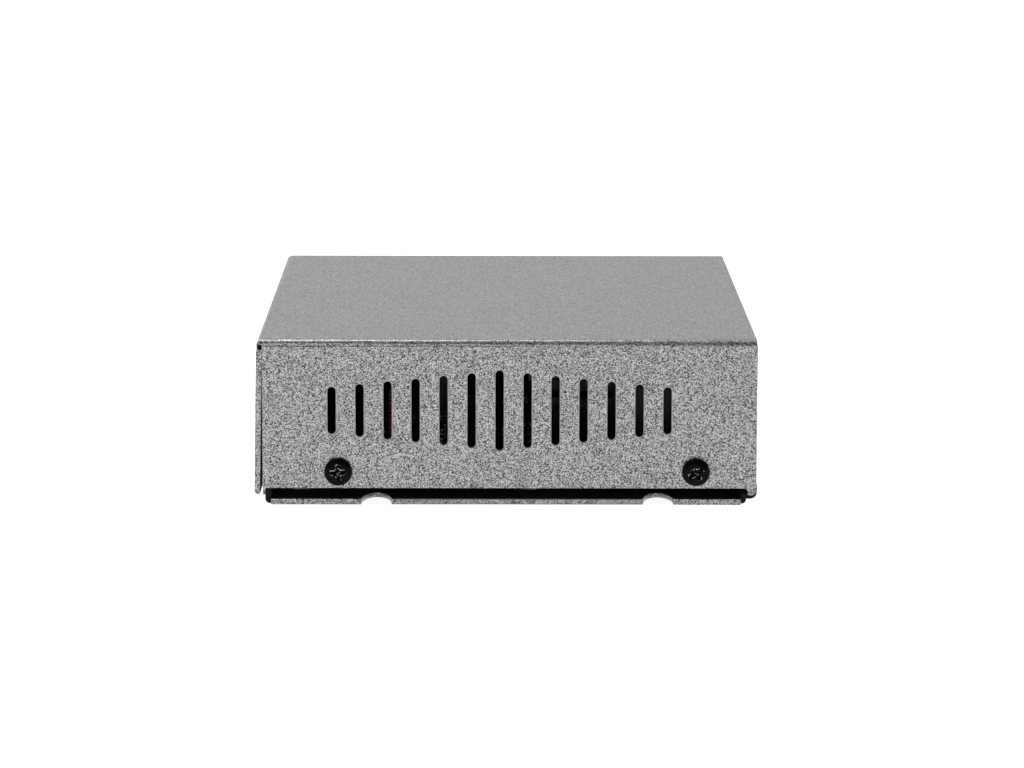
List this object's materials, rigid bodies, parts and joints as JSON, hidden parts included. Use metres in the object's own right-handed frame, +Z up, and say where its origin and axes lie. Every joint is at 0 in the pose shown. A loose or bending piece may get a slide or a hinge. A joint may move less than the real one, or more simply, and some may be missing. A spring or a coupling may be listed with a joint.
{
  "type": "power over ethernet extender",
  "caption": "Folded sheet metal box with slotted sides that passes network data and power on to further network cables.",
  "frame": {"origin": "middle of the underside", "axes": "+Z up, +X from the plain rear wall to the port wall, along the vented sides, +Y across the case"},
  "size_m": [0.09, 0.1132, 0.0299],
  "materials": {
    "case_paint": "grey metallic paint with a fine speckle",
    "screw_black": "glossy black",
    "plated_steel": "bright plated",
    "board_green": "green solder mask over glass fibre",
    "shield_metal": "tinned sheet",
    "socket_plastic": "moulded black plastic",
    "contact_gold": "gold plated wire",
    "lamp_black": "moulded black plastic",
    "lamp_lens": "tinted clear resin",
    "module_black": "moulded black resin",
    "chip_black": "moulded black resin",
    "pad_grey": "soft grey pad",
    "sink_black": "black anodised",
    "ferrite": "dark grey sintered ferrite",
    "coil_tape": "yellow film tape over the winding",
    "enamel_wire": "red enamelled copper wire",
    "inductor_grey": "grey ferrite shell",
    "can_aluminium": "bare aluminium top",
    "sleeve_film": "dark shrunk film",
    "chip_ceramic": "pale ceramic with tinned ends"
  },
  "bodies": {
    "root": {"top_cover": "case_paint", "base_tray": "case_paint", "side_screws": "screw_black", "board_standoffs": "plated_steel", "board_screws": "plated_steel", "circuit_board": "board_green", "in_jack_shield": "shield_metal", "in_jack_housing": "socket_plastic", "in_jack_contacts": "contact_gold", "out_jack_shield": "shield_metal", "out_jack_housing": "socket_plastic", "out_jack_contacts": "contact_gold", "lamp_holder": "lamp_black", "indicator_lamps": "lamp_lens", "line_transformers": "module_black", "switch_chip": "chip_black", "thermal_pad": "pad_grey", "heat_sink": "sink_black", "power_transformer_core": "ferrite", "power_transformer_coil": "coil_tape", "choke_core": "ferrite", "choke_winding": "enamel_wire", "power_inductor": "inductor_grey", "capacitor_cans": "can_aluminium", "capacitor_sleeves": "sleeve_film", "bridge_rectifiers": "chip_black", "controller_chips": "chip_black", "crystal_can": "plated_steel", "surge_diodes": "chip_black", "chip_parts": "chip_ceramic"}
  },
  "joints": []
}
